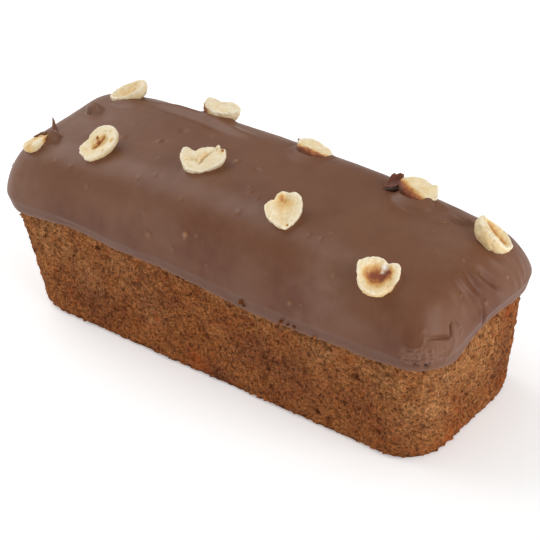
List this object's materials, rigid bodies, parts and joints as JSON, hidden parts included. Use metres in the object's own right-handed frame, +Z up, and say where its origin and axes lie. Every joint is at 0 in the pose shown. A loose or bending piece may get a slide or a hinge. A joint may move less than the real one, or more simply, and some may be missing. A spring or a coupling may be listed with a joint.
{
  "type": "praline cake",
  "caption": "Loaf cake of dark nut sponge with a thick coat of praline chocolate over its top and hazelnut halves set into it.",
  "frame": {"origin": "middle of the loaf's footprint, on the surface it stands on", "axes": "+X along the loaf, +Z up, -Y its front"},
  "size_m": [0.1803, 0.0628, 0.0751],
  "materials": {
    "sponge": "baked crumb, dark golden brown, rough",
    "praline_icing": "set milk chocolate, satin",
    "hazelnut": "blanched roasted nut, satin"
  },
  "bodies": {
    "root": {"sponge": "sponge", "icing": "praline_icing", "hazelnut_01": "hazelnut", "hazelnut_02": "hazelnut", "hazelnut_03": "hazelnut", "hazelnut_04": "hazelnut", "hazelnut_05": "hazelnut", "hazelnut_06": "hazelnut", "hazelnut_07": "hazelnut", "hazelnut_08": "hazelnut", "hazelnut_09": "hazelnut", "hazelnut_10": "hazelnut"}
  },
  "joints": []
}
